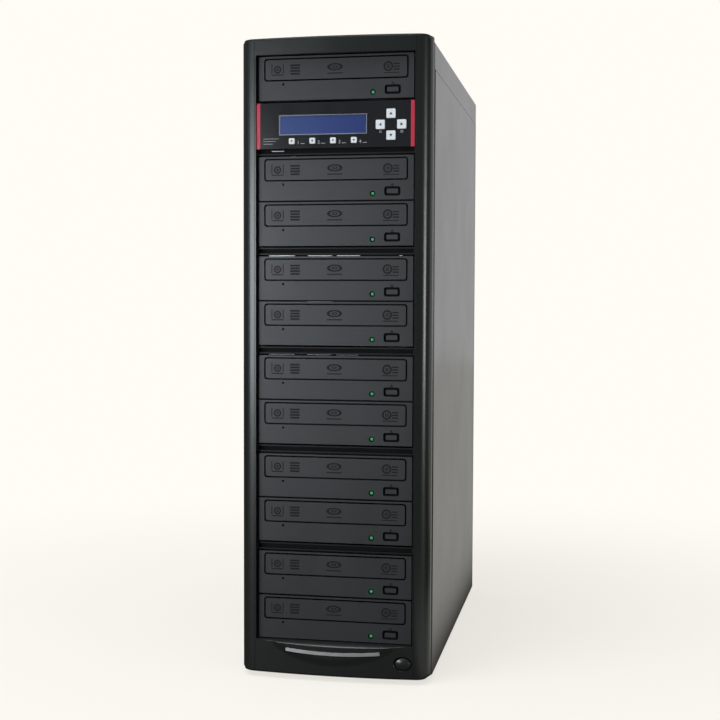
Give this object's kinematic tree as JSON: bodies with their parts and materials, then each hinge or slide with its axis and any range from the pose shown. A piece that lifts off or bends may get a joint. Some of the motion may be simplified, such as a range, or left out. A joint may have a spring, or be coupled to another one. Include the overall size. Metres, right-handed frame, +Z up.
{
  "type": "disc duplicator tower",
  "caption": "Upright tower of tray-loading optical drives with a control panel, a steel case and a bowed plastic front, for copying discs.",
  "frame": {"origin": "on the floor under the middle of the bounding box", "axes": "+Z up, the front with the trays faces -Y, +X is the viewer's right"},
  "size_m": [0.1828, 0.419, 0.6045],
  "materials": {
    "painted_steel": "black semi-gloss powder coat on folded sheet",
    "zinc_steel": "zinc-coated sheet with a faint spangle",
    "bezel_plastic": "black moulded plastic with a fine satin texture",
    "bright_trim": "brushed bright strip",
    "gloss_fascia": "glossy black film with red end stripes",
    "display_glass": "blue backlit display behind a clear window, with a silver rim",
    "key_plastic": "white moulded keys with dark marks",
    "drive_shell": "matt charcoal front on a plated steel case",
    "drive_plastic": "matt charcoal moulded plastic",
    "supply_shell": "dark grey painted box",
    "black_plastic": "black moulded plastic",
    "wire_power": "bundled power leads in a black sleeve with white plugs",
    "wire_data": "bundled red data leads",
    "foot_rubber": "black rubber"
  },
  "bodies": {
    "tower": {"outer_frame": "painted_steel", "drive_cage": "zinc_steel", "front_bezel": "bezel_plastic", "trim_strip": "bright_trim", "control_unit": "gloss_fascia", "display": "display_glass", "power_supply": "supply_shell", "fan_frame": "black_plastic", "power_harness": "wire_power", "data_harness": "wire_data", "foot_front_left": "foot_rubber", "foot_front_right": "foot_rubber", "foot_rear_left": "foot_rubber", "foot_rear_right": "foot_rubber", "drive_01": "drive_shell", "drive_02": "drive_shell", "drive_03": "drive_shell", "drive_04": "drive_shell", "drive_05": "drive_shell", "drive_06": "drive_shell", "drive_07": "drive_shell", "drive_08": "drive_shell", "drive_09": "drive_shell", "drive_10": "drive_shell", "drive_11": "drive_shell"},
    "side_panel_left": {"side_panel_left": "painted_steel"},
    "side_panel_right": {"side_panel_right": "painted_steel"},
    "power_button": {"power_button": "bezel_plastic"},
    "power_rocker": {"power_rocker": "black_plastic"},
    "fan_rotor": {"fan_rotor": "black_plastic"},
    "key_up": {"key_up": "key_plastic"},
    "key_down": {"key_down": "key_plastic"},
    "key_left": {"key_left": "key_plastic"},
    "key_right": {"key_right": "key_plastic"},
    "key_small_1": {"key_small_1": "key_plastic"},
    "key_small_2": {"key_small_2": "key_plastic"},
    "key_small_3": {"key_small_3": "key_plastic"},
    "key_small_4": {"key_small_4": "key_plastic"},
    "tray_01": {"tray_01": "drive_plastic"},
    "eject_01": {"eject_01": "drive_plastic"},
    "tray_02": {"tray_02": "drive_plastic"},
    "eject_02": {"eject_02": "drive_plastic"},
    "tray_03": {"tray_03": "drive_plastic"},
    "eject_03": {"eject_03": "drive_plastic"},
    "tray_04": {"tray_04": "drive_plastic"},
    "eject_04": {"eject_04": "drive_plastic"},
    "tray_05": {"tray_05": "drive_plastic"},
    "eject_05": {"eject_05": "drive_plastic"},
    "tray_06": {"tray_06": "drive_plastic"},
    "eject_06": {"eject_06": "drive_plastic"},
    "tray_07": {"tray_07": "drive_plastic"},
    "eject_07": {"eject_07": "drive_plastic"},
    "tray_08": {"tray_08": "drive_plastic"},
    "eject_08": {"eject_08": "drive_plastic"},
    "tray_09": {"tray_09": "drive_plastic"},
    "eject_09": {"eject_09": "drive_plastic"},
    "tray_10": {"tray_10": "drive_plastic"},
    "eject_10": {"eject_10": "drive_plastic"},
    "tray_11": {"tray_11": "drive_plastic"},
    "eject_11": {"eject_11": "drive_plastic"}
  },
  "joints": [
    {"name": "power_button_press", "type": "slide", "parent": "tower", "child": "power_button", "axis": [0, 1, 0], "range_m": [0, 0.0025], "stiffness_N_per_m": 500, "springref_m": -0.002},
    {"name": "power_rocker_tilt", "type": "hinge", "parent": "tower", "child": "power_rocker", "pos_m": [0.048, 0.19895, 0.0365], "axis": [1, 0, 0], "range_deg": [-20, 0]},
    {"name": "fan_spin", "type": "hinge", "parent": "tower", "child": "fan_rotor", "pos_m": [0, 0.18725, 0.325], "axis": [0, 1, 0], "continuous": true},
    {"name": "side_panel_left_slide", "type": "slide", "parent": "tower", "child": "side_panel_left", "axis": [0, 1, 0], "range_m": [0, 0.02]},
    {"name": "side_panel_right_slide", "type": "slide", "parent": "tower", "child": "side_panel_right", "axis": [0, 1, 0], "range_m": [0, 0.02]},
    {"name": "key_up_press", "type": "slide", "parent": "tower", "child": "key_up", "axis": [0, 1, 0], "range_m": [0, 0.0007], "stiffness_N_per_m": 800, "springref_m": -0.0008},
    {"name": "key_down_press", "type": "slide", "parent": "tower", "child": "key_down", "axis": [0, 1, 0], "range_m": [0, 0.0007], "stiffness_N_per_m": 800, "springref_m": -0.0008},
    {"name": "key_left_press", "type": "slide", "parent": "tower", "child": "key_left", "axis": [0, 1, 0], "range_m": [0, 0.0007], "stiffness_N_per_m": 800, "springref_m": -0.0008},
    {"name": "key_right_press", "type": "slide", "parent": "tower", "child": "key_right", "axis": [0, 1, 0], "range_m": [0, 0.0007], "stiffness_N_per_m": 800, "springref_m": -0.0008},
    {"name": "key_small_1_press", "type": "slide", "parent": "tower", "child": "key_small_1", "axis": [0, 1, 0], "range_m": [0, 0.0007], "stiffness_N_per_m": 800, "springref_m": -0.0008},
    {"name": "key_small_2_press", "type": "slide", "parent": "tower", "child": "key_small_2", "axis": [0, 1, 0], "range_m": [0, 0.0007], "stiffness_N_per_m": 800, "springref_m": -0.0008},
    {"name": "key_small_3_press", "type": "slide", "parent": "tower", "child": "key_small_3", "axis": [0, 1, 0], "range_m": [0, 0.0007], "stiffness_N_per_m": 800, "springref_m": -0.0008},
    {"name": "key_small_4_press", "type": "slide", "parent": "tower", "child": "key_small_4", "axis": [0, 1, 0], "range_m": [0, 0.0007], "stiffness_N_per_m": 800, "springref_m": -0.0008},
    {"name": "tray_01_slide", "type": "slide", "parent": "tower", "child": "tray_01", "axis": [0, -1, 0], "range_m": [0, 0.138]},
    {"name": "tray_02_slide", "type": "slide", "parent": "tower", "child": "tray_02", "axis": [0, -1, 0], "range_m": [0, 0.138]},
    {"name": "tray_03_slide", "type": "slide", "parent": "tower", "child": "tray_03", "axis": [0, -1, 0], "range_m": [0, 0.138]},
    {"name": "tray_04_slide", "type": "slide", "parent": "tower", "child": "tray_04", "axis": [0, -1, 0], "range_m": [0, 0.138]},
    {"name": "tray_05_slide", "type": "slide", "parent": "tower", "child": "tray_05", "axis": [0, -1, 0], "range_m": [0, 0.138]},
    {"name": "tray_06_slide", "type": "slide", "parent": "tower", "child": "tray_06", "axis": [0, -1, 0], "range_m": [0, 0.138]},
    {"name": "tray_07_slide", "type": "slide", "parent": "tower", "child": "tray_07", "axis": [0, -1, 0], "range_m": [0, 0.138]},
    {"name": "tray_08_slide", "type": "slide", "parent": "tower", "child": "tray_08", "axis": [0, -1, 0], "range_m": [0, 0.138]},
    {"name": "tray_09_slide", "type": "slide", "parent": "tower", "child": "tray_09", "axis": [0, -1, 0], "range_m": [0, 0.138]},
    {"name": "tray_10_slide", "type": "slide", "parent": "tower", "child": "tray_10", "axis": [0, -1, 0], "range_m": [0, 0.138]},
    {"name": "tray_11_slide", "type": "slide", "parent": "tower", "child": "tray_11", "axis": [0, -1, 0], "range_m": [0, 0.138]},
    {"name": "eject_01_press", "type": "slide", "parent": "tower", "child": "eject_01", "axis": [0, 1, 0], "range_m": [0, 0.0008], "stiffness_N_per_m": 800, "springref_m": -0.0008},
    {"name": "eject_02_press", "type": "slide", "parent": "tower", "child": "eject_02", "axis": [0, 1, 0], "range_m": [0, 0.0008], "stiffness_N_per_m": 800, "springref_m": -0.0008},
    {"name": "eject_03_press", "type": "slide", "parent": "tower", "child": "eject_03", "axis": [0, 1, 0], "range_m": [0, 0.0008], "stiffness_N_per_m": 800, "springref_m": -0.0008},
    {"name": "eject_04_press", "type": "slide", "parent": "tower", "child": "eject_04", "axis": [0, 1, 0], "range_m": [0, 0.0008], "stiffness_N_per_m": 800, "springref_m": -0.0008},
    {"name": "eject_05_press", "type": "slide", "parent": "tower", "child": "eject_05", "axis": [0, 1, 0], "range_m": [0, 0.0008], "stiffness_N_per_m": 800, "springref_m": -0.0008},
    {"name": "eject_06_press", "type": "slide", "parent": "tower", "child": "eject_06", "axis": [0, 1, 0], "range_m": [0, 0.0008], "stiffness_N_per_m": 800, "springref_m": -0.0008},
    {"name": "eject_07_press", "type": "slide", "parent": "tower", "child": "eject_07", "axis": [0, 1, 0], "range_m": [0, 0.0008], "stiffness_N_per_m": 800, "springref_m": -0.0008},
    {"name": "eject_08_press", "type": "slide", "parent": "tower", "child": "eject_08", "axis": [0, 1, 0], "range_m": [0, 0.0008], "stiffness_N_per_m": 800, "springref_m": -0.0008},
    {"name": "eject_09_press", "type": "slide", "parent": "tower", "child": "eject_09", "axis": [0, 1, 0], "range_m": [0, 0.0008], "stiffness_N_per_m": 800, "springref_m": -0.0008},
    {"name": "eject_10_press", "type": "slide", "parent": "tower", "child": "eject_10", "axis": [0, 1, 0], "range_m": [0, 0.0008], "stiffness_N_per_m": 800, "springref_m": -0.0008},
    {"name": "eject_11_press", "type": "slide", "parent": "tower", "child": "eject_11", "axis": [0, 1, 0], "range_m": [0, 0.0008], "stiffness_N_per_m": 800, "springref_m": -0.0008}
  ]
}
